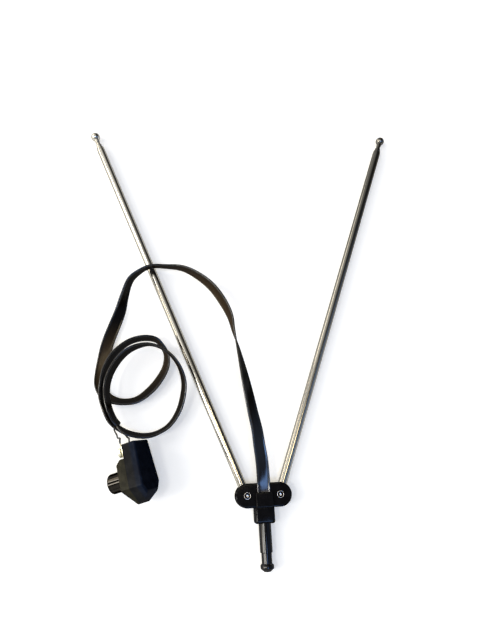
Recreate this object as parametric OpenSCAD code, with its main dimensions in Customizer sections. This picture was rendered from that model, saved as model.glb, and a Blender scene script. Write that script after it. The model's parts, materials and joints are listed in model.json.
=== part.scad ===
// V-shaped telescopic dipole antenna, lying flat with its ribbon lead and matching box.
// Origin: middle of the head's back face, between the two mast pivots. +Y runs up the V, +Z off the table.

/* [Masts] */
// Outer diameter of the first mast tube
mast_od = 7; // [6.6:0.1:8.4]
// Wall of every mast tube
tube_wall = 0.35; // [0.3:0.01:0.42]
// Step in diameter from one mast section to the next
section_step = 1.4; // [1.3:0.05:1.6]
// Distance from a pivot to the centre of its tip ball, mast pushed in
mast_len = 354; // [300:1:400]
// How far each section's end stands out of the one before, mast pushed in
section_pitch = 3; // [2:0.5:5]
// Length of the drawn-in mouth of a mast tube
mouth_len = 4; // [3:0.5:6]
// Length of the friction bush at the foot of each sliding section
bush_len = 12; // [8:1:20]
// Diameter of the tip ball
ball_d = 8; // [7:0.5:10]
// Length of the collar below the tip ball
ball_collar = 3; // [2:0.5:5]
// Angle of each mast from the middle line as the antenna lies
spread = 21; // [10:1:30]
// Radial clearance of a sliding section
slide_gap = 0.05; // [0.03:0.01:0.08]

/* [Pivots] */
// Distance between the two mast pivots
pivot_spacing = 26; // [24:0.5:32]
// Diameter of a pivot rivet's shank
rivet_d = 3.2; // [2.8:0.1:3.6]
// Diameter of the hollow in a pivot rivet's clenched end
rivet_bore = 1.8; // [1.2:0.1:2]
// Depth of the hollow in a pivot rivet's clenched end
rivet_bore_deep = 1.2; // [0.8:0.1:4]
// Diameter of a rivet's rolled head
rivet_head_d = 5.4; // [5:0.1:6]
// Height of a rivet's rolled head
rivet_head_h = 0.9; // [0.6:0.1:1.2]
// Radial clearance of a mast eye on its rivet
pivot_gap = 0.05; // [0.03:0.01:0.08]
// Radius of the eye at the foot of a mast
eye_r = 4.6; // [4.2:0.1:4.8]
// Thickness of the flat tongue that carries the eye
tongue_t = 4.4; // [4:0.1:4.8]
// Distance from a pivot to the foot of the first tube
tube_start = 7.5; // [7:0.1:8.5]
// Length of the lug's spigot inside the first tube
spigot_len = 14; // [8:1:16]

/* [Head] */
// Radius of the head's round ends, half its height
head_r = 9.25; // [8.8:0.05:11]
// Thickness of the head's front and back plates
plate_t = 2; // [1.6:0.1:3]
// Clearance between a mast tube and the head
mast_gap = 0.3; // [0.2:0.05:0.5]
// Bevel along the outer edges of the head
head_bevel = 1.2; // [0.6:0.1:1.6]
// Thickness of the wall between the two masts
top_wall = 3.6; // [2:0.1:4]
// Width of the ribbon hood on the front
hood_w = 13.6; // [13:0.1:15]
// Height of the ribbon hood above the front plate
hood_h = 3; // [2.6:0.1:4]
// Where the hood's mouth stands above the pivot line
hood_mouth = 2.2; // [1:0.1:3]

/* [Mount stem] */
// Width of the collar below the head
collar_w = 16; // [14:0.5:18]
// Length of the collar below the head
collar_len = 11.6; // [8:0.1:16]
// Diameter of the round shaft that plugs into a set
shaft_d = 9.6; // [8:0.1:10.6]
// Length of the shaft
shaft_len = 21; // [12:0.5:30]
// Diameter of the neck below the shaft
neck_d = 8; // [6:0.1:8.5]
// Length of the neck
neck_len = 7.4; // [4:0.1:12]
// Diameter of the foot at the stem's end
foot_d = 10.4; // [9:0.1:11]
// Length of the foot
foot_len = 5.8; // [4:0.1:9]

/* [Ribbon lead] */
// Width of the ribbon
ribbon_w = 10.5; // [9:0.1:10.8]
// Thickness of the ribbon
ribbon_t = 1.6; // [1.2:0.1:1.7]
// Diameter of a bare conductor
wire_d = 0.8; // [0.6:0.1:0.9]

/* [Matching box] */
// Length of the box from its terminal end to its nose
box_len = 45.5; // [44:0.5:55]
// Width of the box at its terminal end
terminal_w = 22; // [22:0.5:26]
// Width of the box at its shoulder, where the nose begins
shoulder_w = 28; // [26:0.5:32]
// Width of the blunt end of the nose
nose_w = 7.2; // [4:0.1:8]
// Depth of the front shell
front_depth = 11.5; // [10:0.5:16]
// Depth of the rear shell
rear_depth = 7.5; // [7:0.5:10]
// Wall of the box
box_wall = 1.8; // [1.4:0.1:2.4]
// Length of the open ledge that carries the terminals
ledge_len = 10.5; // [10:0.5:12]
// Distance between the two terminal screws
terminal_spacing = 14; // [12:0.5:14.5]
// Diameter of a terminal screw's shank
screw_d = 3.5; // [3:0.1:4]
// Diameter of a terminal screw's head
screw_head_d = 7.4; // [6:0.1:7.6]
// Height of a terminal screw's head
screw_head_h = 3; // [2:0.1:3.4]
// Outer diameter of the coax barrel
barrel_d = 15.4; // [14:0.1:17]
// How far the barrel stands out of the box
barrel_len = 14; // [11:0.5:18]
// Diameter of the recess in the barrel's end
socket_d = 10; // [8:0.1:11]
// Depth of the recess in the barrel's end
socket_depth = 3.5; // [2:0.5:4]
// Diameter of the centre pin
pin_d = 1.6; // [1:0.1:2]

/* [Hidden] */
$fn = 64;
eps = 0.01;
left = -1;
right = 1;

// Small fits that every piece shares
face_gap = 0.05;
seat_gap = 0.1;
press_gap = 0.02;

// Head levels, from the table up
tube_room = 0.2;
cavity_h = mast_od + 2 * tube_room;
head_t = cavity_h + 2 * plate_t;
mid_z = head_t / 2;
front_inside = head_t - plate_t;
pivot_x = pivot_spacing / 2;
slot_half = mast_od / 2 + mast_gap;
pocket_r = eye_r + mast_gap + seat_gap;
rear_head_recess = rivet_head_h + seat_gap;

// Washer stack on each pivot
tongue_top = mid_z + tongue_t / 2;
tongue_low = mid_z - tongue_t / 2;
tab_t = 0.6;
tab_z = tongue_top + face_gap;
spring_z = tab_z + tab_t + face_gap;
spring_t = front_inside - spring_z - face_gap;
fibre_z = plate_t + face_gap;
fibre_t = tongue_low - face_gap - fibre_z;
washer_inset = 0.6;
washer_r = eye_r - washer_inset;
washer_hole_r = rivet_d / 2 + seat_gap;

// Stem steps, measured down from the pivot line
tang_top = 2.6;
tang_w = 14;
tang_wall = 1.85;
tang_low = head_r - tang_wall;
stem_pass_w = 10;
collar_top = head_r + seat_gap;
collar_low = collar_top + collar_len;
shaft_low = collar_low + shaft_len;
neck_low = shaft_low + neck_len;
foot_low = neck_low + foot_len;
foot_flare = 1.2;
foot_taper = 2.4;
collar_round = 3;
collar_edge = 1.5;

// Mast sections: diameters, feet and ends along the mast
section_d = [for (k = [0:3]) mast_od - k * section_step];
function bore_d(k) = section_d[k] - 2 * tube_wall;
function mouth_d(k) = section_d[k + 1] + 2 * slide_gap;
ball_seat = 0.5;
tip_gap = 0.3;
first_end = mast_len - ball_d / 2 + ball_seat - ball_collar - tip_gap - 2 * section_pitch;
function section_end(k) = first_end + k * section_pitch;
land_len = 1.3;
foot_gap = 1.5;
spigot_lap = 1;
spigot_end = tube_start + spigot_len;
function section_foot(k) = k == 0 ? tube_start : spigot_end + foot_gap + k * section_pitch;
collar_foot = section_end(2) + tip_gap;

// Ribbon: level in the hood, and its inner end
ribbon_z = head_t + seat_gap + ribbon_t / 2;
ribbon_end_y = 0.2;
conductor_inset = 0.8;
conductor_x = ribbon_w / 2 - conductor_inset;
wire_y = -1;
pocket_room = 0.3;
pocket_low = 2.4;

// Matching box: levels in its own frame, x out of the label face, y towards the terminals, z across
box_t = front_depth + rear_depth;
label_x = box_t / 2;
part_x = label_x - front_depth;
rear_x = -box_t / 2;
nose_len = 12.5;
shoulder_y = nose_len - box_len;
front_nose_cut = 6.5;
rear_nose_cut = 12;
nose_front_x = 2.5;
nose_rear_x = -3.9;
rear_step_cut = 3.5;
label_bevel = 1;
panel_deep = 0.6;
panel_margin = 4.5;
panel_edge = 2;
panel_clip = 6;
barrel_y = -25.5;
barrel_step = 0.7;
barrel_neck_d = barrel_d - 2 * barrel_step;
flange_step = 1;
barrel_flange_d = barrel_d + 2 * flange_step;
barrel_flange_t = 1.5;
barrel_edge = 1.2;
hollow_room = 0.5;
hollow_low = barrel_y - barrel_flange_d / 2 - hollow_room;
pin_sink = 1;
pin_tail = 1;
terminal_y = -5.5;
plate_size = [0.8, 8, 7];
wire_play = 0.6;
wire_room = wire_d + wire_play;
head_under_x = part_x - plate_size[0] - wire_room;
wire_x = part_x - plate_size[0] - wire_room / 2;
wire_side = screw_d / 2 + wire_d / 2 + seat_gap;
screw_reach = 7;
screw_tip_gap = 1;
slot_w = 0.9;
slot_deep = 1.2;
core_floor = label_x - box_wall - panel_deep;
core_size = [8, 13, 13];
core_y = -22.7;
core_hole_d = 4;
core_hole_z = 3;
winding_d = 3.4;

// The box leans on its barrel: its lower rear edge and the barrel's rim both lie on the table
box_lean = atan((shoulder_w - barrel_d) / 2 / barrel_len);
box_lift = box_t / 2 * sin(box_lean) + shoulder_w / 2 * cos(box_lean) + seat_gap;
box_turn = 14;
box_at = [-102.3, 43.6];

// A point of the box's own frame, placed on the table
function on_table(p) =
    let (across = p[0] * cos(box_lean) - p[2] * sin(box_lean))
    [
        box_at[0] + across * cos(box_turn) - p[1] * sin(box_turn),
        box_at[1] + across * sin(box_turn) + p[1] * cos(box_turn),
        box_lift + p[0] * sin(box_lean) + p[2] * cos(box_lean)
    ];

// Ribbon route: x, y, z of the middle line, and how far the face is turned about it in degrees.
// Out of the hood, up between the masts with a half twist, over the left mast on edge, down to the table.
route_inner = [
    [0, ribbon_end_y, ribbon_z, 0], [0, 5, ribbon_z + 0.1, 0], [0, 10, 13, 0], [-0.3, 18, 15, 6],
    [-1, 27, 17.5, 10], [-2.5, 38, 20, 18], [-4, 50, 22.5, 25], [-6.5, 62, 24.5, 31], [-9, 76, 26, 38],
    [-11.5, 90, 27, 48], [-14, 104, 27.5, 62], [-16.5, 117, 28, 76], [-19, 129, 28, 92],
    [-21.5, 142.5, 27.5, 108], [-27.5, 156.5, 26, 116], [-36.5, 170.5, 24, 113], [-48.5, 182, 21, 104],
    [-60.5, 189.5, 17.5, 93], [-74, 192, 15.5, 84]
];
// Over the mast, down the left side, one turn to the right, then a larger one that ends inside the first.
route_outer = [
    [-74, 192, 15.5, 84], [-87, 192.5, 15, 82], [-97, 188, 14, 91], [-105, 180.5, 12.5, 106],
    [-110, 167, 9.5, 122], [-114, 153, 6.5, 145], [-123, 129.5, 4, 162], [-126.5, 115, 2.6, 172],
    [-128.5, 102, 2.2, 172], [-128.5, 92, 3.2, 158], [-124.5, 83.5, 4.2, 144], [-118.5, 79.5, 4.8, 132],
    [-109.5, 77.5, 5, 125], [-98.5, 79, 5, 129], [-88, 86.5, 5, 134], [-80.5, 95.5, 5, 132],
    [-75.5, 105, 5.2, 126], [-74.5, 114, 5.8, 114], [-76.5, 120.5, 6.8, 104], [-82.5, 127.5, 9.6, 100],
    [-92, 129, 12.4, 99], [-102.5, 126.5, 14, 99], [-111, 121, 14.8, 101], [-118, 113.5, 15.2, 104],
    [-123, 103.5, 15.2, 106], [-125, 92.5, 15.4, 108], [-125.5, 81.5, 15.2, 109],
    [-122.5, 70.5, 14.6, 110], [-117.5, 60.5, 13.4, 111], [-108.5, 53.5, 11.8, 113],
    [-98.5, 50, 10.2, 115], [-89.5, 49.5, 8.6, 115], [-81, 52, 7.2, 112], [-72.5, 57.5, 6.6, 112],
    [-65.5, 67.5, 7.2, 114], [-61.5, 79.5, 9.4, 114], [-60.5, 91.5, 12.2, 108], [-64, 103.5, 15.2, 98],
    [-70.5, 112.5, 17.8, 90], [-79, 119, 18.4, 85], [-88.5, 122, 18, 86], [-98.5, 120.5, 17.4, 96],
    [-107, 116, 16.8, 102], [-114, 108.5, 16.4, 106], [-119, 99.5, 16.2, 108], [-121.5, 90, 16.2, 109],
    [-121.5, 81, 16, 109], [-119, 72, 15, 108], [-115, 64.5, 13.6, 107], [-111, 60, 12.4, 106]
];
route_last = len(route_outer) - 1;

// Sweeping a flat or round section along a route
up = [0, 0, 1];
function unit(v) = v / norm(v);
function place(p) = [p[0], p[1], p[2]];
function turn_of(p) = len(p) > 3 ? p[3] : 0;
function heading(path, i) =
    let (last = len(path) - 1)
    unit(place(path[min(i + 1, last)]) - place(path[max(i - 1, 0)]));
function ring(path, i, section) =
    let (ahead = heading(path, i), side = unit(cross(up, ahead)), above = cross(ahead, side))
    let (turn = turn_of(path[i]))
    let (across = cos(turn) * side + sin(turn) * above, through = cos(turn) * above - sin(turn) * side)
    [for (p = section) place(path[i]) + p[0] * across + p[1] * through];
function flat_section(w, t) =
    let (a = w / 2, b = t / 2, c = t / 4)
    [[a, -c], [a, c], [a - c, b], [c - a, b], [-a, c], [-a, -c], [c - a, -b], [a - c, -b]];
wire_sides = 8;
function round_section(r) =
    [for (j = [0:wire_sides - 1]) let (a = 360 * j / wire_sides) r * [cos(a), sin(a)]];

// The ribbon ends on edge. Its two wires leave the upper and the lower bead and pass below the ribbon's
// first turn to the sides of the terminal screws.
upper_terminal_z = terminal_spacing / 2 + wire_side;
lower_terminal_z = -terminal_spacing / 2 + wire_side;
tail_ends = ring(route_outer, route_last, [[conductor_x, 0], [-conductor_x, 0]]);
tail_upper = [
    tail_ends[1], [-110.2, 60.2, 6.2], [-111.6, 59, 4.2], [-114.4, 58, 4.2], [-116.4, 56.4, 5.5],
    [-115.6, 53.5, 7.5], [-114, 51.2, 9.5], [-112.4, 48, 14.6],
    on_table([wire_x, 5, upper_terminal_z - 1.5]), on_table([wire_x, 2, upper_terminal_z]),
    on_table([wire_x, terminal_y - 2.5, upper_terminal_z])
];
tail_lower = [
    tail_ends[0], [-109.4, 57.2, 14.8], [-108.2, 57.4, 10.5], [-107.8, 57.4, 6], [-107.6, 54, 3.9],
    [-106.8, 50.2, 4.5], [-105.4, 48.6, 7],
    on_table([wire_x, 4.5, lower_terminal_z - 1]), on_table([wire_x, 2, lower_terminal_z]),
    on_table([wire_x, terminal_y - 2.5, lower_terminal_z])
];

module sweep(path, from, to, section) {
    sides = len(section);
    rings = [for (i = [from:to]) ring(path, i, section)];
    last = len(rings) - 1;
    points = [for (r = rings) for (p = r) p];
    walls = [
        for (i = [0:last - 1]) for (j = [0:sides - 1])
            let (a = i * sides + j, b = i * sides + (j + 1) % sides)
            each [[a, a + sides, b + sides], [a, b + sides, b]]
    ];
    foot = [for (j = [0:sides - 1]) j];
    top = [for (j = [0:sides - 1]) last * sides + sides - 1 - j];
    polyhedron(points, concat([foot], walls, [top]));
}

// Flat outlines of the head
module head_outline(r) {
    for (s = [left, right]) translate([s * pivot_x, 0]) circle(r);
    square([2 * pivot_x, 2 * r], center = true);
}

module rounded_rect(w, h, r) {
    square([w - 2 * r, h], center = true);
    square([w, h - 2 * r], center = true);
    for (x = [-1, 1]) for (y = [-1, 1]) translate([x * (w / 2 - r), y * (h / 2 - r)]) circle(r);
}

// Walls between the two plates: open where the masts swing, and around the stem's tang
module head_walls() {
    low = 2 * head_r;
    difference() {
        intersection() {
            head_outline(head_r);
            union() {
                translate([-pivot_x - low, -slot_half - low]) square([2 * (pivot_x + low), low]);
                translate([slot_half - pivot_x, head_r - top_wall])
                    square([2 * (pivot_x - slot_half), low]);
            }
        }
        for (s = [left, right]) translate([s * pivot_x, 0]) circle(pocket_r);
        translate([-tang_w / 2 - seat_gap, -tang_low - seat_gap])
            square([tang_w + 2 * seat_gap, tang_low]);
        translate([-stem_pass_w / 2 - seat_gap, -low]) square([stem_pass_w + 2 * seat_gap, low]);
    }
}

// A plate of the head with its outer edge bevelled, lying on z = 0 with the bevel at the foot
module bevelled_plate() {
    small = head_r - head_bevel;
    translate([0, 0, head_bevel]) linear_extrude(plate_t - head_bevel) head_outline(head_r);
    for (s = [left, right]) translate([s * pivot_x, 0, 0]) cylinder(h = head_bevel, r1 = small, r2 = head_r);
    rotate([90, 0, 90]) translate([0, 0, -pivot_x]) linear_extrude(2 * pivot_x)
        polygon([[-small, 0], [small, 0], [head_r, head_bevel], [-head_r, head_bevel]]);
}

module at_pivot(s, z) {
    translate([s * pivot_x, 0, z]) children();
}

module ring_solid(outer, inner, h) {
    difference() {
        cylinder(h = h, r = outer);
        translate([0, 0, -eps]) cylinder(h = h + 2 * eps, r = inner);
    }
}

// Back half of the head, with recesses that sink the rivets' rear heads
module rear_shell() {
    color([0.05, 0.05, 0.055]) difference() {
        union() {
            bevelled_plate();
            translate([0, 0, plate_t]) linear_extrude(mid_z - plate_t) head_walls();
        }
        for (s = [left, right]) {
            at_pivot(s, -eps) cylinder(h = plate_t + 2 * eps, r = rivet_d / 2 + face_gap);
            at_pivot(s, -eps) cylinder(h = rear_head_recess + eps, r = rivet_head_d / 2 + seat_gap);
        }
    }
}

// Front half of the head, with the hood that the ribbon leaves by
module front_shell() {
    pocket_w = ribbon_w + 2 * pocket_room;
    pocket_h = ribbon_t + pocket_room;
    color([0.05, 0.05, 0.055]) difference() {
        union() {
            translate([0, 0, head_t]) mirror([0, 0, 1]) bevelled_plate();
            translate([0, 0, mid_z]) linear_extrude(front_inside - mid_z) head_walls();
            translate([-hood_w / 2, -head_r, head_t - head_bevel])
                cube([hood_w, head_r + hood_mouth, hood_h + head_bevel]);
        }
        translate([-pocket_w / 2, -pocket_low, head_t])
            cube([pocket_w, pocket_low + hood_mouth + eps, pocket_h]);
        for (s = [left, right]) {
            at_pivot(s, front_inside - eps) cylinder(h = plate_t + 2 * eps, r = rivet_d / 2 + face_gap);
            translate([s * conductor_x, wire_y, front_inside - eps])
                cylinder(h = plate_t + 2 * eps, r = wire_d / 2 + seat_gap);
        }
    }
}

// One moulding: a tang trapped between the shells, the collar, and the round stem that plugs in
module mount_stem() {
    body_h = cavity_h - 2 * seat_gap;
    collar_h = head_t - 2 * seat_gap;
    end_round = collar_round - collar_edge / 2;
    color([0.05, 0.05, 0.055]) translate([0, 0, mid_z]) {
        translate([-tang_w / 2, -tang_low, -body_h / 2]) cube([tang_w, tang_low - tang_top, body_h]);
        translate([-stem_pass_w / 2, -collar_top - eps, -body_h / 2])
            cube([stem_pass_w, collar_top - tang_low + 2 * eps, body_h]);
        rotate([90, 0, 0]) {
            translate([0, 0, collar_top]) linear_extrude(collar_len - collar_edge)
                rounded_rect(collar_w, collar_h, collar_round);
            translate([0, 0, collar_low - collar_edge - eps]) linear_extrude(collar_edge + eps)
                rounded_rect(collar_w - 2 * collar_edge, collar_h - collar_edge, end_round);
            translate([0, 0, collar_low - eps]) cylinder(h = shaft_len + eps, d = shaft_d);
            translate([0, 0, shaft_low - eps]) cylinder(h = neck_len + 2 * eps, d = neck_d);
            translate([0, 0, neck_low]) rotate_extrude() stem_foot();
        }
    }
}

// The foot flares out from the neck, then tapers to its end
module stem_foot() {
    r = foot_d / 2;
    polygon([
        [0, 0], [r - foot_flare, 0], [r, foot_flare], [r, foot_len - foot_taper],
        [r - foot_taper, foot_len], [0, foot_len]
    ]);
}

// Semi-tubular rivet: a shank through both plates, a flat head at the back and a clenched hollow end in front
module pivot_rivet(s) {
    head_w = rivet_head_d / 2;
    rivet_len = head_t + 2 * rivet_head_h - rear_head_recess;
    color([0.78, 0.78, 0.76]) at_pivot(s, rear_head_recess - rivet_head_h) difference() {
        union() {
            cylinder(h = rivet_head_h, r = head_w);
            cylinder(h = rivet_len - eps, r = rivet_d / 2);
            translate([0, 0, rivet_len - rivet_head_h]) {
                cylinder(h = rivet_head_h / 2, r = head_w);
                cylinder(h = rivet_head_h, r1 = head_w, r2 = head_w - rivet_head_h);
            }
        }
        translate([0, 0, rivet_len - rivet_bore_deep]) cylinder(h = head_t, r = rivet_bore / 2);
    }
}

module fibre_washer(s) {
    color([0.35, 0.2, 0.12]) at_pivot(s, fibre_z) ring_solid(washer_r, washer_hole_r, fibre_t);
}

module spring_washer(s) {
    color([0.6, 0.6, 0.62]) at_pivot(s, spring_z) ring_solid(washer_r, washer_hole_r, spring_t);
}

// Brass tab that presses on the mast eye and reaches to its conductor
module contact_tab(s) {
    tab_w = 3;
    reach = pivot_x - conductor_x + tab_w / 2;
    color([0.8, 0.62, 0.25]) at_pivot(s, tab_z) difference() {
        union() {
            cylinder(h = tab_t, r = washer_r);
            translate([s > 0 ? -reach : 0, -tab_w / 2, 0]) cube([reach, tab_w, tab_t]);
        }
        translate([0, 0, -eps]) cylinder(h = tab_t + 2 * eps, r = washer_hole_r);
    }
}

// Bare ends of the ribbon's conductors, bent down through the front plate onto the tabs
module lead_ends() {
    tab_top = tab_z + tab_t;
    color([0.75, 0.45, 0.25]) for (s = [left, right]) translate([s * conductor_x, 0, 0]) {
        translate([0, wire_y, tab_top]) cylinder(h = ribbon_z - tab_top, d = wire_d);
        translate([0, wire_y, ribbon_z]) sphere(d = wire_d);
        translate([0, ribbon_end_y, ribbon_z]) rotate([90, 0, 0])
            cylinder(h = ribbon_end_y - wire_y, d = wire_d);
    }
}

// A mast's own line: z runs from its pivot to its tip
module along_mast(s) {
    translate([s * pivot_x, 0, mid_z]) rotate([0, 0, -s * spread]) rotate([-90, 0, 0]) children();
}

// Lug: an eye on a flat tongue, with a spigot pressed into the first tube
module pivot_lug(s) {
    tongue_w = 6;
    tongue_len = tube_start - seat_gap;
    color([0.72, 0.7, 0.66]) along_mast(s) difference() {
        union() {
            rotate([90, 0, 0]) translate([0, 0, -tongue_t / 2]) cylinder(h = tongue_t, r = eye_r);
            translate([-tongue_w / 2, -tongue_t / 2, 0]) cube([tongue_w, tongue_t, tongue_len]);
            translate([0, 0, tongue_len - spigot_lap])
                cylinder(h = spigot_end - tongue_len + spigot_lap, d = bore_d(0) - 2 * press_gap);
        }
        rotate([90, 0, 0]) translate([0, 0, -tongue_t])
            cylinder(h = 2 * tongue_t, r = rivet_d / 2 + pivot_gap);
    }
}

// One mast tube, drawn in at its mouth so that the next section can't pull out
module mast_tube(s, k) {
    outer = section_d[k] / 2;
    bore = bore_d(k) / 2;
    mouth = mouth_d(k) / 2;
    foot = section_foot(k);
    top = section_end(k);
    color([0.82, 0.8, 0.75]) along_mast(s) rotate_extrude() polygon([
        [bore, foot], [outer, foot], [outer, top - mouth_len], [mouth + tube_wall, top],
        [mouth, top], [mouth, top - land_len], [bore, top - mouth_len]
    ]);
}

// Split bush that grips the bore around it, fixed on the foot of section k
module friction_bush(s, k) {
    color([0.7, 0.55, 0.3]) along_mast(s) translate([0, 0, section_foot(k)])
        ring_solid(bore_d(k - 1) / 2 - slide_gap, section_d[k] / 2, bush_len);
}

module tip_rod(s) {
    color([0.82, 0.8, 0.75]) along_mast(s) translate([0, 0, section_foot(3)])
        cylinder(h = mast_len - section_foot(3), d = section_d[3]);
}

module tip_ball(s) {
    color([0.85, 0.84, 0.8]) along_mast(s) difference() {
        union() {
            translate([0, 0, mast_len]) sphere(d = ball_d);
            translate([0, 0, collar_foot]) cylinder(h = mast_len - collar_foot, d = section_d[2]);
        }
        translate([0, 0, collar_foot - eps]) cylinder(h = mast_len - collar_foot + eps, d = section_d[3]);
    }
}

// Flat twin-lead ribbon: the stretch from the hood to the left mast, and the rest
module ribbon_inner() {
    after = route_outer[1];
    color([0.12, 0.07, 0.05])
        sweep(concat(route_inner, [after]), 0, len(route_inner) - 1, flat_section(ribbon_w, ribbon_t));
}

module ribbon_outer() {
    before = route_inner[len(route_inner) - 2];
    color([0.12, 0.07, 0.05])
        sweep(concat([before], route_outer), 1, route_last + 1, flat_section(ribbon_w, ribbon_t));
}

module wire_tails() {
    color([0.1, 0.08, 0.07]) {
        sweep(tail_upper, 0, len(tail_upper) - 1, round_section(wire_d / 2));
        sweep(tail_lower, 0, len(tail_lower) - 1, round_section(wire_d / 2));
    }
}

// The matching box's own frame on the table, and shapes drawn in it
module in_box() {
    translate([box_at[0], box_at[1], box_lift]) rotate([0, 0, box_turn]) rotate([0, -box_lean, 0]) children();
}

module along_x(from, to) {
    translate([from, 0, 0]) rotate([90, 0, 90]) linear_extrude(to - from) children();
}

// Outline seen on the label face: it widens from the terminals to a shoulder, then runs in to a blunt nose
module box_outline(inset) {
    narrow = terminal_w / 2 - inset;
    wide = shoulder_w / 2 - inset;
    nose = nose_w / 2 - inset / 2;
    polygon([
        [-inset, -narrow], [-inset, narrow], [shoulder_y, wide], [inset - box_len, nose],
        [inset - box_len, -nose], [shoulder_y, -wide]
    ]);
}

module terminals() {
    for (z = [-1, 1]) translate([0, terminal_y, z * terminal_spacing / 2]) children();
}

// Front shell: solid terminal block, a hollow for the core, a plain recessed panel with one clipped corner
module box_front_shell() {
    hollow_half = terminal_w / 2 - box_wall;
    hollow_top = -ledge_len - box_wall;
    panel_top = -panel_margin;
    panel_left = terminal_w / 2 - panel_margin;
    panel_right = panel_edge - terminal_w / 2;
    color([0.07, 0.075, 0.09]) in_box() difference() {
        intersection() {
            union() {
                along_x(part_x, label_x - label_bevel) box_outline(0);
                hull() {
                    along_x(label_x - label_bevel - eps, label_x - label_bevel) box_outline(0);
                    along_x(label_x - eps, label_x) box_outline(label_bevel);
                }
            }
            translate([0, 0, -shoulder_w]) linear_extrude(2 * shoulder_w) polygon([
                [part_x, 0], [label_x, 0], [label_x, front_nose_cut - box_len], [nose_front_x, -box_len],
                [part_x, -box_len]
            ]);
        }
        translate([part_x - eps, shoulder_y, -hollow_half])
            cube([core_floor - part_x + eps, hollow_top - shoulder_y, 2 * hollow_half]);
        along_x(label_x - panel_deep, label_x + eps) polygon([
            [panel_top, panel_right], [panel_top, panel_left - panel_clip],
            [panel_top - panel_clip, panel_left], [shoulder_y, panel_left], [shoulder_y, panel_right]
        ]);
        terminals() rotate([0, 90, 0]) translate([0, 0, part_x - eps]) cylinder(h = screw_reach, d = screw_d);
    }
}

// Rear shell: stops short of the terminal ledge, slopes off at the nose, and carries the barrel
module box_rear_shell() {
    deep = rear_depth - box_wall;
    hollow_half = terminal_w / 2 - box_wall;
    hollow_top = -ledge_len - box_wall - rear_step_cut;
    color([0.085, 0.085, 0.085]) in_box() difference() {
        intersection() {
            along_x(rear_x, part_x - face_gap) box_outline(0);
            translate([0, 0, -shoulder_w]) linear_extrude(2 * shoulder_w) polygon([
                [part_x, -ledge_len], [rear_x + rear_step_cut, -ledge_len],
                [rear_x, -ledge_len - rear_step_cut], [rear_x, rear_nose_cut - box_len],
                [nose_rear_x, -box_len], [part_x, -box_len]
            ]);
        }
        translate([part_x - deep, hollow_low, -hollow_half])
            cube([deep + eps, hollow_top - hollow_low, 2 * hollow_half]);
        translate([0, barrel_y, 0]) rotate([0, -90, 0]) cylinder(h = box_t, d = barrel_neck_d + 2 * face_gap);
    }
}

module terminal_plates() {
    color([0.8, 0.66, 0.3]) in_box() terminals() difference() {
        translate([part_x - plate_size[0], -plate_size[1] / 2, -plate_size[2] / 2]) cube(plate_size);
        rotate([0, 90, 0]) translate([0, 0, part_x - plate_size[0] - eps])
            cylinder(h = plate_size[0] + 2 * eps, d = screw_d + 2 * seat_gap);
    }
}

module terminal_screws() {
    slot = [slot_deep + eps, screw_head_d + 2 * eps, slot_w];
    color([0.85, 0.72, 0.36]) in_box() terminals() difference() {
        rotate([0, 90, 0]) {
            translate([0, 0, head_under_x - screw_head_h]) cylinder(h = screw_head_h, d = screw_head_d);
            translate([0, 0, head_under_x - eps])
                cylinder(h = part_x + screw_reach - screw_tip_gap - head_under_x, d = screw_d - 2 * face_gap);
        }
        translate([head_under_x - screw_head_h - eps, -slot[1] / 2, -slot[2] / 2]) cube(slot);
    }
}

// Two-hole ferrite core, seated on the floor of the front shell
module ferrite_core() {
    low_x = core_floor - face_gap - core_size[0];
    low_y = core_y - core_size[1] / 2;
    color([0.2, 0.2, 0.2]) in_box() translate([low_x, low_y, 0]) difference() {
        translate([0, 0, -core_size[2] / 2]) cube(core_size);
        for (z = [-1, 1]) translate([core_size[0] / 2, -eps, z * core_hole_z])
            rotate([-90, 0, 0]) cylinder(h = core_size[1] + 2 * eps, d = core_hole_d);
    }
}

// Winding: one bundle of enamelled wire through both holes and round the ends of the core
module core_winding() {
    seat_x = core_floor - face_gap - core_size[0] / 2;
    reach = core_size[1] + winding_d + 2 * seat_gap;
    color([0.6, 0.28, 0.12]) in_box() translate([seat_x, core_y, 0]) {
        for (z = [-1, 1]) translate([0, -reach / 2, z * core_hole_z]) {
            rotate([-90, 0, 0]) cylinder(h = reach, d = winding_d);
            sphere(d = winding_d);
            translate([0, reach, 0]) sphere(d = winding_d);
        }
        for (y = [-1, 1]) translate([0, y * reach / 2, -core_hole_z])
            cylinder(h = 2 * core_hole_z, d = winding_d);
    }
}

// The barrel's own line: z runs from the box's middle out through its rear
module along_barrel() {
    in_box() translate([0, barrel_y, 0]) rotate([0, -90, 0]) children();
}

// Turned metal barrel: a flange inside the shell, a neck through its wall, and the sleeve outside
module coax_barrel() {
    inside = box_t / 2 - box_wall;
    outside = box_t / 2;
    tip = outside + barrel_len;
    sleeve = barrel_d / 2;
    recess = socket_d / 2;
    color([0.75, 0.73, 0.68]) along_barrel() rotate_extrude() polygon([
        [recess, inside - barrel_flange_t], [barrel_flange_d / 2, inside - barrel_flange_t],
        [barrel_flange_d / 2, inside - face_gap], [barrel_neck_d / 2, inside - face_gap],
        [barrel_neck_d / 2, outside], [sleeve, outside], [sleeve, tip - barrel_edge],
        [sleeve - barrel_edge, tip], [recess, tip]
    ]);
}

module barrel_insulator() {
    inside = box_t / 2 - box_wall - barrel_flange_t;
    tip = box_t / 2 + barrel_len - socket_depth;
    color([0.9, 0.88, 0.8]) along_barrel() translate([0, 0, inside])
        ring_solid(socket_d / 2 - press_gap, pin_d / 2 + press_gap, tip - inside);
}

module centre_pin() {
    inside = box_t / 2 - box_wall - barrel_flange_t;
    tip = box_t / 2 + barrel_len - pin_sink;
    color([0.85, 0.7, 0.35]) along_barrel() translate([0, 0, inside - pin_tail])
        cylinder(h = tip - inside + pin_tail, d = pin_d);
}

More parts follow.
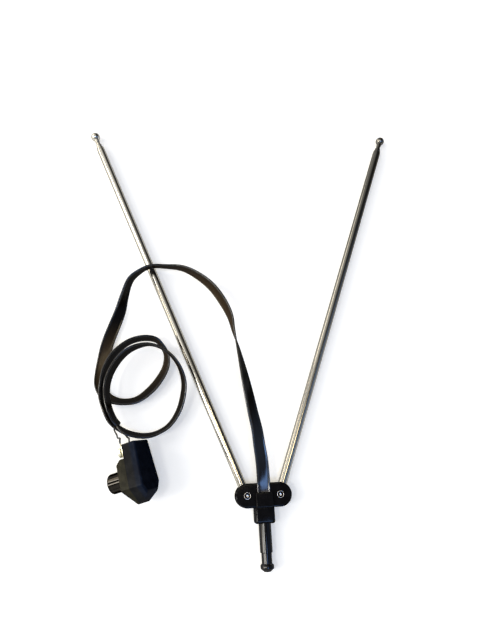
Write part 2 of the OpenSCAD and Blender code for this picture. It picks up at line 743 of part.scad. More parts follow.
rear_shell();
front_shell();
mount_stem();
pivot_rivet(left);  // left_pivot_rivet
pivot_rivet(right);  // right_pivot_rivet
fibre_washer(left);  // left_fibre_washer
fibre_washer(right);  // right_fibre_washer
contact_tab(left);  // left_contact_tab
contact_tab(right);  // right_contact_tab
spring_washer(left);  // left_spring_washer
spring_washer(right);  // right_spring_washer
lead_ends();
pivot_lug(left);  // left_pivot_lug
mast_tube(left, 0);  // left_tube_1
mast_tube(left, 1);  // left_tube_2
friction_bush(left, 1);  // left_bush_2
mast_tube(left, 2);  // left_tube_3
friction_bush(left, 2);  // left_bush_3
tip_rod(left);  // left_tip_rod
friction_bush(left, 3);  // left_bush_4
tip_ball(left);  // left_tip_ball
pivot_lug(right);  // right_pivot_lug
mast_tube(right, 0);  // right_tube_1
mast_tube(right, 1);  // right_tube_2
friction_bush(right, 1);  // right_bush_2
mast_tube(right, 2);  // right_tube_3
friction_bush(right, 2);  // right_bush_3
tip_rod(right);  // right_tip_rod
friction_bush(right, 3);  // right_bush_4
tip_ball(right);  // right_tip_ball
ribbon_inner();
ribbon_outer();
wire_tails();
box_front_shell();
box_rear_shell();
terminal_plates();
terminal_screws();
ferrite_core();
core_winding();
coax_barrel();
barrel_insulator();
centre_pin();
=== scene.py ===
import json
import math

import bmesh
import bpy
from mathutils import Matrix, Vector


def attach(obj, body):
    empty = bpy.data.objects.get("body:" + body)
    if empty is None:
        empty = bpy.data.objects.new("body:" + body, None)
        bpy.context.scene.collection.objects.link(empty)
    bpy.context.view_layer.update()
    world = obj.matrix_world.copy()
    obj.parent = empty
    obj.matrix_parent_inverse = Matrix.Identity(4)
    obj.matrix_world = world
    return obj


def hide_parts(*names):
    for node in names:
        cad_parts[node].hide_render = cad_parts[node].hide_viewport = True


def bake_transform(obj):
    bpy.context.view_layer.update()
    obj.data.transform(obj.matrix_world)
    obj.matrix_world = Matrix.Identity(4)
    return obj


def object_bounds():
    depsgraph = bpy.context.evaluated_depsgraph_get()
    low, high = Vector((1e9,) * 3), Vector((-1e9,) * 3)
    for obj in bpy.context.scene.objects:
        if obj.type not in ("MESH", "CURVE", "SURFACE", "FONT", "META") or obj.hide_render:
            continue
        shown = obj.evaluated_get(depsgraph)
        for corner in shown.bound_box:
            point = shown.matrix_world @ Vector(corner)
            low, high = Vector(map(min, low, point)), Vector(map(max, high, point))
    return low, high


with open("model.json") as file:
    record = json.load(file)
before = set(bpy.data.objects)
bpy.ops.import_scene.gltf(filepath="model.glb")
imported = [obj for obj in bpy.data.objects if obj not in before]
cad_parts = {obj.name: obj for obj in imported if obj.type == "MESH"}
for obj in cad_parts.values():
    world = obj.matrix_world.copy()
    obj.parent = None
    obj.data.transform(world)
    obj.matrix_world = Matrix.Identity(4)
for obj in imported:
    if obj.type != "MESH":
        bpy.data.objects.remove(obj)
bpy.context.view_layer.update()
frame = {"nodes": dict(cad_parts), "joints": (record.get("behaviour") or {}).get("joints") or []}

# View. The antenna lies on a table, and the camera looks down on it from above the head, leaning a
# little towards the tips. The picture is upright, 480 by 640, and its long side spans the sensor.
camera_place = (-0.0575, 0.00975, 0.43529)
camera_pan = math.radians(-18.956)
camera_tilt = math.radians(18.434)
camera_roll = math.radians(16.901)
focal_length = 29.25
camera_lens = bpy.data.cameras.new("photo_camera")
camera_lens.lens = focal_length
camera = bpy.data.objects.new("photo_camera", camera_lens)
bpy.context.scene.collection.objects.link(camera)
camera.matrix_world = (
    Matrix.Translation(camera_place)
    @ Matrix.Rotation(camera_pan, 4, "Z")
    @ Matrix.Rotation(camera_tilt, 4, "X")
    @ Matrix.Rotation(camera_roll, 4, "Z")
)
bpy.context.scene.camera = camera
bpy.context.scene.view_settings.view_transform = "Standard"

# Ribbon lead. Twin lead: two stranded conductors in the round edges of one extruded ribbon of dark
# brown polyethylene, pushed under the head's hood. It makes a half twist up between the masts,
# crosses the left mast on edge and lies in two loops on the table. Its colour is painted lighter
# and darker in patches along it, and darker on one face, as painted light and shade.
ribbon_width = 0.0105
ribbon_length = 0.765
bead_radius = 0.0008
web_half = 0.00045
hood_mouth = (0.0, 0.0022, 0.0123)
# Each stop is x, y, z and the turn of the ribbon's face about its route, in degrees
ribbon_route = [
    (0.0, 0.0002, 0.0123, 0), (0.0, 0.005, 0.0124, 0), (0.0, 0.01, 0.013, 0),
    (-0.0003, 0.018, 0.015, 6), (-0.001, 0.027, 0.0175, 10), (-0.0025, 0.038, 0.02, 18),
    (-0.004, 0.05, 0.0225, 25), (-0.0065, 0.062, 0.0245, 31), (-0.009, 0.076, 0.026, 38),
    (-0.0115, 0.09, 0.027, 48), (-0.014, 0.104, 0.0275, 62), (-0.0165, 0.117, 0.028, 76),
    (-0.019, 0.129, 0.028, 92), (-0.0215, 0.1425, 0.0275, 108), (-0.0275, 0.1565, 0.026, 116),
    (-0.0365, 0.1705, 0.024, 113), (-0.0485, 0.182, 0.021, 104), (-0.0605, 0.1895, 0.0175, 93),
    (-0.074, 0.192, 0.0155, 84), (-0.087, 0.1925, 0.015, 82), (-0.097, 0.188, 0.014, 91),
    (-0.105, 0.1805, 0.0125, 106), (-0.11, 0.167, 0.0095, 122), (-0.114, 0.153, 0.0065, 145),
    (-0.123, 0.1295, 0.004, 162), (-0.1265, 0.115, 0.0026, 172), (-0.1285, 0.102, 0.0022, 172),
    (-0.1285, 0.092, 0.0032, 158), (-0.1245, 0.0835, 0.0042, 144), (-0.1185, 0.0795, 0.0048, 132),
    (-0.1095, 0.0775, 0.005, 125), (-0.0985, 0.079, 0.005, 129), (-0.088, 0.0865, 0.005, 134),
    (-0.0805, 0.0955, 0.005, 132), (-0.0755, 0.105, 0.0052, 126), (-0.0745, 0.114, 0.0058, 114),
    (-0.0765, 0.1205, 0.0068, 104), (-0.0825, 0.1275, 0.0096, 100), (-0.092, 0.129, 0.0124, 99),
    (-0.1025, 0.1265, 0.014, 99), (-0.111, 0.121, 0.0148, 101), (-0.118, 0.1135, 0.0152, 104),
    (-0.123, 0.1035, 0.0152, 106), (-0.125, 0.0925, 0.0154, 108), (-0.1255, 0.0815, 0.0152, 109),
    (-0.1225, 0.0705, 0.0146, 110), (-0.1175, 0.0605, 0.0134, 111), (-0.1085, 0.0535, 0.0118, 113),
    (-0.0985, 0.05, 0.0102, 115), (-0.0895, 0.0495, 0.0086, 115), (-0.081, 0.052, 0.0072, 112),
    (-0.0725, 0.0575, 0.0066, 112), (-0.0655, 0.0675, 0.0072, 114), (-0.0615, 0.0795, 0.0094, 114),
    (-0.0605, 0.0915, 0.0122, 108), (-0.064, 0.1035, 0.0152, 98), (-0.0705, 0.1125, 0.0178, 90),
    (-0.079, 0.119, 0.0184, 85), (-0.0885, 0.122, 0.018, 86), (-0.0985, 0.1205, 0.0174, 96),
    (-0.107, 0.116, 0.0168, 102), (-0.114, 0.1085, 0.0164, 106), (-0.119, 0.0995, 0.0162, 108),
    (-0.1215, 0.09, 0.0162, 109), (-0.1215, 0.081, 0.016, 109), (-0.1196, 0.0715, 0.015, 109),
    (-0.1162, 0.0634, 0.0136, 111), (-0.1126, 0.0586, 0.0124, 112),
]
route_steps = 8


def smooth_route(stops):
    """A smooth line of points through the stops, which carries their turn, the fourth value."""
    rows = [Vector(stop) for stop in stops]
    rows = [2 * rows[0] - rows[1], *rows, 2 * rows[-1] - rows[-2]]
    line = []
    for a, b, c, d in zip(rows, rows[1:], rows[2:], rows[3:]):
        for step in range(route_steps):
            t = step / route_steps
            bend = (2 * a - 5 * b + 4 * c - d) * t * t + (3 * b - a - 3 * c + d) * t ** 3
            line.append((2 * b + (c - a) * t + bend) / 2)
    return [*line, rows[-2]]


def sweep(name, line, section, level=True):
    """A closed mesh: a section carried along a line and turned by the line's fourth value.

    The turn counts from level or, where the line stands upright, from the section before.
    """
    points, faces, spots, along, side = [], [], [], [0.0], None
    for start, end in zip(line, line[1:]):
        along.append(along[-1] + (end - start).to_3d().length)
    for i, stop in enumerate(line):
        ahead = (line[min(i + 1, len(line) - 1)] - line[max(i - 1, 0)]).to_3d().normalized()
        if level or not side:
            side = Vector((0, 0, 1)).cross(ahead).normalized()
        side = (side - ahead * side.dot(ahead)).normalized()
        above = ahead.cross(side)
        turn = math.radians(stop[3])
        across = math.cos(turn) * side + math.sin(turn) * above
        through = math.cos(turn) * above - math.sin(turn) * side
        points += [stop.to_3d() + x * across + y * through for x, y in section]
    sides = len(section)
    for i in range(len(line) - 1):
        for j in range(sides):
            a, b = i * sides + j, i * sides + (j + 1) % sides
            faces.append((a, b, b + sides, a + sides))
            low, high = j / sides, (j + 1) / sides
            spots += [(low, along[i]), (high, along[i]), (high, along[i + 1]), (low, along[i + 1])]
    last = len(points) - sides
    faces += [tuple(range(sides - 1, -1, -1)), tuple(range(last, last + sides))]
    spots += [(0.5, 0.0)] * sides + [(0.5, along[-1])] * sides
    mesh = bpy.data.meshes.new(name)
    mesh.from_pydata(points, [], faces)
    for corner, spot in zip(mesh.uv_layers.new(name="along").data, spots):
        corner.uv = spot
    mesh.shade_smooth()
    for cap in mesh.polygons[-2:]:
        cap.use_smooth = False
    piece = bpy.data.objects.new(name, mesh)
    bpy.context.scene.collection.objects.link(piece)
    return piece


def twin_lead_section():
    """Two round beads joined by a thinner web, drawn counter-clockwise from the right-hand bead."""
    bead = [math.radians(angle) for angle in range(-135, 136, 30)]
    middle = ribbon_width / 2 - bead_radius
    right = [(middle + bead_radius * math.cos(a), bead_radius * math.sin(a)) for a in bead]
    web = [(x * middle, web_half) for x in (0.72, 0.3, -0.3, -0.72)]
    half = right + web
    return half + [(-x, -y) for x, y in half]


def fade(tree, source, low, high, first=0.0, last=1.0, smooth=False):
    """A value that goes from first to last as the source goes from low to high."""
    node = tree.nodes.new("ShaderNodeMapRange")
    if smooth:
        node.interpolation_type = "SMOOTHSTEP"
    ends = {"From Min": low, "From Max": high, "To Min": first, "To Max": last}
    for socket, value in ends.items():
        node.inputs[socket].default_value = value
    tree.links.new(source, node.inputs["Value"])
    return node.outputs[0]


def tones(tree, source, stops, tint=(1, 1, 1)):
    """A grey, or a tint of it, that runs through stops of place and tone along the source."""
    node = tree.nodes.new("ShaderNodeValToRGB")
    for place, _ in stops[2:]:
        node.color_ramp.elements.new(place)
    for stop, (place, tone) in zip(node.color_ramp.elements, stops):
        stop.position = place
        stop.color = (*(tone * part for part in tint), 1)
    tree.links.new(source, node.inputs[0])
    return node.outputs[0]


def reckon(tree, operation, *terms):
    """The result of one operation on terms that are outputs or plain numbers."""
    node = tree.nodes.new("ShaderNodeMath")
    node.operation = operation
    for socket, term in zip(node.inputs, terms):
        if isinstance(term, float):
            socket.default_value = term
        else:
            tree.links.new(term, socket)
    return node.outputs[0]


def toned(tree, colour, tone):
    """A colour made lighter or darker by a tone."""
    node = tree.nodes.new("ShaderNodeVectorMath")
    node.operation = "SCALE"
    tree.links.new(colour, node.inputs[0])
    tree.links.new(tone, node.inputs["Scale"])
    return node.outputs[0]


def parted(tree, vector):
    """The x, y and z of a vector."""
    node = tree.nodes.new("ShaderNodeSeparateXYZ")
    tree.links.new(vector, node.inputs[0])
    return node.outputs


def finish(name, dark, light, gloss, grain, place=None, relief=0.1, uv=None, **sockets):
    """A procedural material: a grain of a size, in metres and in the frame of place, sets its look.

    dark and light are the ends of its colour, gloss the ends of its roughness, and relief the
    strength of its bump. The other sockets of the shader are set as they are given.
    """
    grain_low, grain_high = 0.5, 0.85
    fine_share = 0.35
    relief_height = 0.0001
    material = bpy.data.materials.new(name)
    material.use_nodes = True
    tree = material.node_tree
    nodes = tree.nodes
    link = tree.links.new
    shader = nodes["Principled BSDF"]
    for socket, value in sockets.items():
        shader.inputs[socket.replace("_", " ")].default_value = value
    where = nodes.new("ShaderNodeUVMap" if uv else "ShaderNodeTexCoord")
    if uv:
        where.uv_map = uv
    laid = nodes.new("ShaderNodeMapping")
    laid.vector_type = "TEXTURE"
    laid.inputs["Scale"].default_value = grain
    if place:
        laid.inputs["Location"].default_value = place.to_translation()
        laid.inputs["Rotation"].default_value = place.to_euler()
    link(where.outputs["UV" if uv else "Object"], laid.inputs["Vector"])
    fine = nodes.new("ShaderNodeTexNoise")
    fine.inputs["Scale"].default_value = 1.0
    fine.inputs["Detail"].default_value = 4.0
    broad = nodes.new("ShaderNodeTexNoise")
    broad.inputs["Scale"].default_value = 0.08
    broad.inputs["Detail"].default_value = 5.0
    for noise in (fine, broad):
        link(laid.outputs["Vector"], noise.inputs["Vector"])
    mixed = reckon(tree, "MULTIPLY_ADD", fine.outputs["Fac"], fine_share, broad.outputs["Fac"])
    tint = nodes.new("ShaderNodeValToRGB")
    ends = ((grain_low, dark), (grain_high, light))
    for stop, (level, colour) in zip(tint.color_ramp.elements, ends):
        stop.position = level
        stop.color = (*colour, 1)
    link(mixed, tint.inputs[0])
    link(tint.outputs[0], shader.inputs["Base Color"])
    link(fade(tree, mixed, grain_low, grain_high, *gloss), shader.inputs["Roughness"])
    bump = nodes.new("ShaderNodeBump")
    bump.inputs["Strength"].default_value = relief
    bump.inputs["Distance"].default_value = relief_height
    link(fine.outputs["Fac"], bump.inputs["Height"])
    link(bump.outputs[0], shader.inputs["Normal"])
    link(bump.outputs[0], shader.inputs["Coat Normal"])
    return material


ribbon_brown = finish(
    "ribbon_brown", dark=(0.018, 0.012, 0.0065), light=(0.0365, 0.0243, 0.013), gloss=(0.25, 0.4),
    grain=(0.02, 0.012, 1.0), relief=0.12, uv="along", Specular_IOR_Level=0.0, Coat_IOR=3.0,
    Coat_Roughness=0.2,
)
# Painted light and shade: lighter and darker patches along the ribbon, and one face painted darker
painted_light_stops = [
    (0.18, 1.0), (0.25, 0.85), (0.3, 0.5), (0.345, 0.1), (0.385, 0.14), (0.415, 1.0), (0.44, 1.7),
    (0.466, 1.7), (0.49, 0.3), (0.53, 0.35), (0.555, 0.95), (0.575, 0.9), (0.6, 0.3), (0.64, 0.15),
    (1.0, 0.2),
]
painted_shade_face = 0.13
# The round edges shine more than the faces, and the first stretch is rubbed bright all over
bead_shine, face_shine, rubbed_shine = 0.19, 0.03, 0.15
shine_stops = [
    (0.3, bead_shine), (0.36, face_shine), (0.46, face_shine), (0.52, bead_shine),
    (0.8, bead_shine), (0.86, face_shine), (0.96, face_shine), (1.0, bead_shine),
]
tree = ribbon_brown.node_tree
shader = tree.nodes["Principled BSDF"]
round_it, along_it, _ = parted(tree, tree.nodes["UV Map"].outputs[0])
share_along = reckon(tree, "DIVIDE", along_it, ribbon_length)
# The ribbon's colour is scaled by painted light and shade, along it and across its faces
painted_face_shade = fade(tree, round_it, 0.55, 0.85, painted_shade_face, smooth=True)
painted_light_and_shade = reckon(tree, "MULTIPLY", painted_face_shade, tones(tree, share_along, painted_light_stops))
painted_face_tone = toned(tree, tree.nodes["Color Ramp"].outputs[0], painted_light_and_shade)
tree.links.new(painted_face_tone, shader.inputs["Base Color"])
rubbed = fade(tree, share_along, 0.05, 0.12, rubbed_shine, 0.0)
shine = reckon(tree, "ADD", tones(tree, round_it, shine_stops), rubbed)
tree.links.new(shine, shader.inputs["Coat Weight"])
ribbon_line = smooth_route(ribbon_route)
ribbon = sweep("ribbon_lead", ribbon_line, twin_lead_section())
ribbon.data.materials.append(ribbon_brown)
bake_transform(ribbon)
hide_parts("ribbon_inner", "ribbon_outer")

# Lead legs. At its end the ribbon is slit down the middle: each edge goes on alone as a leg in its
# own polyethylene sleeve to one terminal, and the last few millimetres are tinned copper under the
# screw's head.
box_turn = math.radians(14)
shoulder_width = 0.028
barrel_width = 0.0154
barrel_length = 0.014
box_depth = 0.019
box_lean = math.atan((shoulder_width - barrel_width) / 2 / barrel_length)
box_place = (
    Matrix.Translation((-0.1023, 0.0436, 0.016765))
    @ Matrix.Rotation(box_turn, 4, "Z")
    @ Matrix.Rotation(-box_lean, 4, "Y")
)
terminal_y = -0.0055
terminal_step = 0.014
wire_x = -0.0035
wire_side = 0.00225
sleeve_radius = 0.00065
wire_radius = 0.0004
wire_end_y = terminal_y - 0.0025
bare_points = 7
wire_points = 12
upper_z = terminal_step / 2 + wire_side
lower_z = -terminal_step / 2 + wire_side


def round_section(radius):
    """A round section of that radius, with twelve sides."""
    corners = [2 * math.pi * k / 12 for k in range(12)]
    return [(radius * math.cos(a), radius * math.sin(a)) for a in corners]


def in_box(x, y, z):
    """Where a point of the matching box's own frame lies in the object's frame."""
    return box_place @ Vector((x, y, z))


legs = {
    "upper": [
        (-0.11179, 0.06027, 0.00836), (-0.1123, 0.0595, 0.0066), (-0.113, 0.0594, 0.0053),
        (-0.1141, 0.0589, 0.0049), (-0.1154, 0.058, 0.0049), (-0.1165, 0.0559, 0.0059),
        (-0.1156, 0.0535, 0.0075), (-0.114, 0.0512, 0.0095), (-0.1124, 0.048, 0.0146),
        in_box(wire_x, 0.005, upper_z - 0.0015), in_box(wire_x, 0.002, upper_z),
        in_box(wire_x, wire_end_y, upper_z),
    ],
    "lower": [
        (-0.11341, 0.05693, 0.01644), (-0.112, 0.0553, 0.0178), (-0.11, 0.0533, 0.0182),
        (-0.108, 0.0515, 0.0181), (-0.1063, 0.0499, 0.0174), (-0.1049, 0.0481, 0.0152),
        in_box(wire_x, 0.0045, lower_z - 0.001), in_box(wire_x, 0.002, lower_z),
        in_box(wire_x, wire_end_y, lower_z),
    ],
}
tinned_copper = finish(
    "tinned_copper", dark=(0.48, 0.43, 0.27), light=(0.8, 0.75, 0.54), gloss=(0.25, 0.45),
    grain=(0.0004, 0.0004, 0.0004), Metallic=1.0,
)
for side, stops in legs.items():
    leg_line = smooth_route([(*stop, 0) for stop in stops])
    sleeved, bared = leg_line[:-bare_points], leg_line[-wire_points:]
    sleeve = sweep(side + "_leg_sleeve", sleeved, round_section(sleeve_radius), level=False)
    sleeve.data.materials.append(ribbon_brown)
    wire = sweep(side + "_leg_wire", bared, round_section(wire_radius), level=False)
    wire.data.materials.append(tinned_copper)
    for piece, slot in ((sleeve, "wire_black"), (wire, "copper")):
        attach(piece, "left_mast")
        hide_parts("wire_tails")

# Matching box, front shell. A moulded half in satin black plastic that widens from the terminals to
# a shoulder and runs in to a blunt nose. Its face has a shallow panel with one clipped corner. The
# black is painted bluer towards that face than at the seam, a painted blue light.
face_x = box_depth / 2
part_x = face_x - 0.0115
box_length = 0.0455
nose_length = 0.0125
shoulder_y = nose_length - box_length
terminal_width = 0.022
nose_width = 0.0072
box_wall = 0.0018
front_nose_cut = 0.0065
nose_front_x = 0.0025
ledge_length = 0.0105
panel_deep = 0.0006
panel_margin = 0.0045
panel_edge = 0.002
panel_clip = 0.006
corner_round = 0.0008
face_round = 0.0018
box_grain = 0.0004
# Where the painted blue light starts and where it is full, across the box's depth
painted_blue_from = face_x - 0.006
painted_blue_to = face_x - 0.004
overcut = 0.001
hair = 1e-5


def alone(piece):
    """Selects a piece and nothing else."""
    bpy.ops.object.select_all(action="DESELECT")
    bpy.context.view_layer.objects.active = piece
    piece.select_set(True)


def begin(add, **options):
    """Adds a primitive with nothing else selected, open for editing."""
    bpy.ops.object.select_all(action="DESELECT")
    add(**options)
    bpy.ops.object.transform_apply(location=True, rotation=True, scale=True)
    bpy.ops.object.mode_set(mode="EDIT")
    bpy.ops.mesh.select_mode(type="VERT")
    bpy.ops.mesh.select_all(action="SELECT")


def reopen(piece):
    """Opens a piece again for editing."""
    alone(piece)
    bpy.ops.object.mode_set(mode="EDIT")


def close(name):
    """Ends the editing of the open piece with its faces outwards."""
    bpy.ops.mesh.select_all(action="SELECT")
    bpy.ops.mesh.remove_doubles(threshold=1e-7)
    bpy.ops.mesh.normals_make_consistent(inside=False)
    bpy.ops.object.mode_set(mode="OBJECT")
    piece = bpy.context.object
    piece.name = name
    piece.data.name = name
    return piece


def choose(kind, test):
    """Selects the open piece's vertices or edges whose corners' places pass a test."""
    bpy.ops.mesh.select_mode(type=kind)
    bpy.ops.mesh.select_all(action="DESELECT")
    mesh = bmesh.from_edit_mesh(bpy.context.object.data)
    for item in mesh.verts if kind == "VERT" else mesh.edges:
        corners = [item.co] if kind == "VERT" else [corner.co for corner in item.verts]
        item.select_set(test(corners))
    mesh.select_flush_mode()
    bmesh.update_edit_mesh(bpy.context.object.data)


def round_edges(radius, segments, test):
    """Rounds the open piece's edges that pass the test."""
    choose("EDGE", test)
    bpy.ops.mesh.bevel(offset=radius, segments=segments, profile=0.5, affect="EDGES")


def slab(outline, low, high):
    """Stock for a moulding: an outline of y and z pulled along x from a low level to a high one."""
    begin(bpy.ops.mesh.primitive_circle_add, vertices=len(outline), radius=1, fill_type="NGON")
    mesh = bmesh.from_edit_mesh(bpy.context.object.data)
    mesh.verts.ensure_lookup_table()
    for corner, point in zip(mesh.verts, outline):
        corner.co = (low, *point)
    bpy.ops.mesh.select_all(action="SELECT")
    bpy.ops.mesh.extrude_region_move(TRANSFORM_OT_translate={"value": (high - low, 0, 0)})


def slice_off(point, outwards):
    """Cuts the open piece with a plane and closes it, dropping what lies outwards of it."""
    bpy.ops.mesh.select_all(action="SELECT")
    bpy.ops.mesh.bisect(
        plane_co=point, plane_no=Vector(outwards).normalized(), threshold=1e-6,
        use_fill=True, clear_outer=True,
    )


def block(low, high):
    """A plain box between two corners, as stock to cut with or to join."""
    low, high = Vector(low), Vector(high)
    begin(bpy.ops.mesh.primitive_cube_add, size=1, location=(low + high) / 2, scale=high - low)
    return close("block")


def combine(piece, operation, *tools):
    """Joins the piece with tools, or cuts it with them, and uses them up."""
    for tool in tools:
        step = piece.modifiers.new("combine", "BOOLEAN")
        step.operation = operation
        step.solver = "EXACT"
        step.object = tool
        alone(piece)
        bpy.ops.object.modifier_apply(modifier=step.name)
        bpy.data.objects.remove(tool)


def dress(piece, material, body, slot, *nodes):
    """Smooths a finished piece, gives it its material and sets it on its body for CAD nodes."""
    alone(piece)
    bpy.ops.object.shade_smooth_by_angle(angle=math.radians(35))
    flats = piece.modifiers.new("flats", "WEIGHTED_NORMAL")
    flats.keep_sharp = True
    flats.weight = 100
    bpy.ops.object.modifier_apply(modifier=flats.name)
    piece.data.materials.clear()
    piece.data.materials.append(material)
    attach(piece, body)
    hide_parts(*nodes)
    return piece


box_black = finish(
    "box_black", dark=(0.0054, 0.0057, 0.0065), light=(0.013, 0.0132, 0.0135), gloss=(0.3, 0.42),
    grain=(box_grain, box_grain, box_grain), place=box_place, relief=0.25, Specular_IOR_Level=0.0,
    Coat_Weight=0.03, Coat_IOR=3.0, Coat_Roughness=0.2,
)
# The black is painted bluer towards the face, a painted blue light
tree = box_black.node_tree
depth, _, _ = parted(tree, tree.nodes["Mapping"].outputs["Vector"])
painted_blue_share = fade(tree, depth, painted_blue_from / box_grain, painted_blue_to / box_grain)
painted_blue_light = tree.nodes.new("ShaderNodeMix")
painted_blue_light.data_type = "RGBA"
painted_blue_light.blend_type = "MULTIPLY"
painted_blue_light.inputs["B"].default_value = (0.5, 0.8, 1.6, 1)
tree.links.new(painted_blue_share, painted_blue_light.inputs["Factor"])
tree.links.new(tree.nodes["Color Ramp"].outputs[0], painted_blue_light.inputs["A"])
tree.links.new(painted_blue_light.outputs["Result"], tree.nodes["Principled BSDF"].inputs["Base Color"])
box_outline = [
    (0, -terminal_width / 2), (0, terminal_width / 2), (shoulder_y, shoulder_width / 2),
    (-box_length, nose_width / 2), (-box_length, -nose_width / 2),
    (shoulder_y, -shoulder_width / 2),
]
panel_low_z = panel_edge - terminal_width / 2
panel_high_z = terminal_width / 2 - panel_margin
panel_outline = [
    (-panel_margin, panel_low_z), (-panel_margin, panel_high_z - panel_clip),
    (-panel_margin - panel_clip, panel_high_z), (shoulder_y, panel_high_z),
    (shoulder_y, panel_low_z),
]
slab(panel_outline, face_x - panel_deep, face_x + overcut)
panel_cutter = close("panel_cutter")
hollow_half = terminal_width / 2 - box_wall
hollow_high = -ledge_length - box_wall
core_floor = face_x - box_wall - panel_deep
core_room = block(
    (part_x - overcut, shoulder_y, -hollow_half), (core_floor, hollow_high, hollow_half)
)
slab(box_outline, part_x, face_x)
slice_off((nose_front_x, -box_length, 0), (front_nose_cut, nose_front_x - face_x, 0))
round_edges(corner_round, 3, lambda ends: abs(ends[0].x - ends[1].x) > box_depth / 4)
round_edges(face_round, 6, lambda ends: all(end.x > face_x - hair for end in ends))
box_front = close("box_front_moulding")
combine(box_front, "DIFFERENCE", panel_cutter, core_room)
panel_faces = [
    face.index for face in box_front.data.polygons
    if face.normal.x > 0.98 and face.center.x > face_x - panel_deep - hair
]
box_front.data.transform(box_place)
dress(box_front, box_black, "left_mast", "box_black", "box_front_shell")
# The panel is a matt black painted darker and bluer, painted shade and painted blue light
panel_painted_shade_blue = finish(
    "panel_painted_shade_blue", dark=(0.004, 0.0051, 0.0081), light=(0.0088, 0.0105, 0.0162),
    gloss=(0.5, 0.65), grain=(box_grain, box_grain, box_grain), place=box_place, relief=0.3,
    Specular_IOR_Level=0.0,
)
box_front.data.materials.append(panel_painted_shade_blue)
for face in panel_faces:
    box_front.data.polygons[face].material_index = 1

# Matching box, rear shell. The other half of the same moulding, snapped onto the front shell: it
# stops at a ledge that leaves the terminals open, slopes off towards the nose, and carries the coax
# barrel in its wall.
rear_x = -box_depth / 2
rear_nose_cut = 0.012
nose_rear_x = -0.0039
rear_step = 0.0035
rear_round = 0.0007
seam_gap = 0.00005
barrel_y = -0.0255
barrel_neck = barrel_width - 0.0014
hollow_low = barrel_y - barrel_width / 2 - 0.0015
rear_room = block(
    (rear_x + box_wall, hollow_low, -hollow_half),
    (part_x + overcut, hollow_high - rear_step, hollow_half),
)
begin(
    bpy.ops.mesh.primitive_cylinder_add, vertices=64, radius=barrel_neck / 2 + seam_gap,
    depth=0.006, location=(rear_x, barrel_y, 0), rotation=(0, math.pi / 2, 0),
)
neck_hole = close("neck_hole")
slab(box_outline, rear_x, part_x - seam_gap)
slice_off((nose_rear_x, -box_length, 0), (-rear_nose_cut, rear_x - nose_rear_x, 0))
slice_off((0, -ledge_length, 0), (0, 1, 0))
slice_off((rear_x, -ledge_length - rear_step, 0), (-1, 1, 0))
round_edges(rear_round, 3, lambda ends: min(end.x for end in ends) < part_x - overcut)
box_rear = close("box_rear_moulding")
combine(box_rear, "DIFFERENCE", rear_room, neck_hole)
box_rear.data.transform(box_place)
# The same plastic as the front shell, painted lighter and warmer, a painted warm light
rear_black_painted_warm_light = finish(
    "rear_black_painted_warm_light", dark=(0.012, 0.011, 0.006), light=(0.027, 0.0243, 0.0142), gloss=(0.35, 0.5),
    grain=(box_grain, box_grain, box_grain), place=box_place, relief=0.3, Specular_IOR_Level=0.0,
    Coat_Weight=0.04, Coat_IOR=2.5, Coat_Roughness=0.25,
)
dress(box_rear, rear_black_painted_warm_light, "left_mast", "box_black", "box_rear_shell")

# Coax barrel. A sleeve turned from brass bar and plated with dark nickel: a flange holds it inside
# the rear shell, its neck passes the wall, and the wide part outside takes the cable's connector
# over an insulator and a pin.
barrel_place = (
    box_place @ Matrix.Translation((0, barrel_y, 0)) @ Matrix.Rotation(-math.pi / 2, 4, "Y")
)
flange_radius = barrel_width / 2 + 0.001
flange_thick = 0.0015
recess_radius = 0.005
barrel_edge = 0.0012
barrel_break = 0.0003
barrel_foot = box_depth / 2
barrel_tip = barrel_foot + barrel_length
flange_level = barrel_foot - box_wall


def turn_profile(name, profile, steps=64):
    """A turned piece: a profile of radius and height, from foot to top, spun round the z axis."""
    begin(bpy.ops.mesh.primitive_plane_add, size=0.001)
    bpy.ops.mesh.merge(type="CENTER")
    bpy.ops.transform.translate(value=(profile[0][0], 0, profile[0][1]))
    for (r, h), (next_r, next_h) in zip(profile, profile[1:]):
        step = (next_r - r, 0, next_h - h)
        bpy.ops.mesh.extrude_region_move(TRANSFORM_OT_translate={"value": step})
    bpy.ops.mesh.select_all(action="SELECT")
    bpy.ops.mesh.spin(steps=steps, angle=2 * math.pi, center=(0, 0, 0), axis=(0, 0, 1))
    return close(name)


def rounded(middle, radius, start, end, steps=4):
    """Profile points of a round about a middle point, between two angles in degrees."""
    angles = [math.radians(start + (end - start) * k / steps) for k in range(steps + 1)]
    return [(middle[0] + radius * math.cos(a), middle[1] + radius * math.sin(a)) for a in angles]


barrel_radius = barrel_width / 2
barrel_profile = [
    (recess_radius, flange_level - flange_thick), (flange_radius, flange_level - flange_thick),
    (flange_radius, flange_level - seam_gap), (barrel_neck / 2, flange_level - seam_gap),
    (barrel_neck / 2, barrel_foot), (barrel_radius - barrel_break, barrel_foot + seam_gap),
    (barrel_radius, barrel_foot + barrel_break),
    *rounded((barrel_radius - barrel_edge, barrel_tip - barrel_edge), barrel_edge, 0, 90, 6),
    (recess_radius + barrel_break, barrel_tip), (recess_radius, barrel_tip - barrel_break),
    (recess_radius, flange_level - flange_thick),
]
black_nickel = finish(
    "black_nickel", dark=(0.022, 0.02, 0.018), light=(0.04, 0.037, 0.033), gloss=(0.05, 0.11),
    grain=(0.02, 0.02, 0.00012), place=barrel_place, relief=0.06, Metallic=1.0,
    Specular_Tint=(0.1, 0.1, 0.1, 1),
)
barrel = turn_profile("coax_sleeve", barrel_profile, 96)
barrel.data.transform(barrel_place)
dress(barrel, black_nickel, "left_mast", "nickel", "coax_barrel")

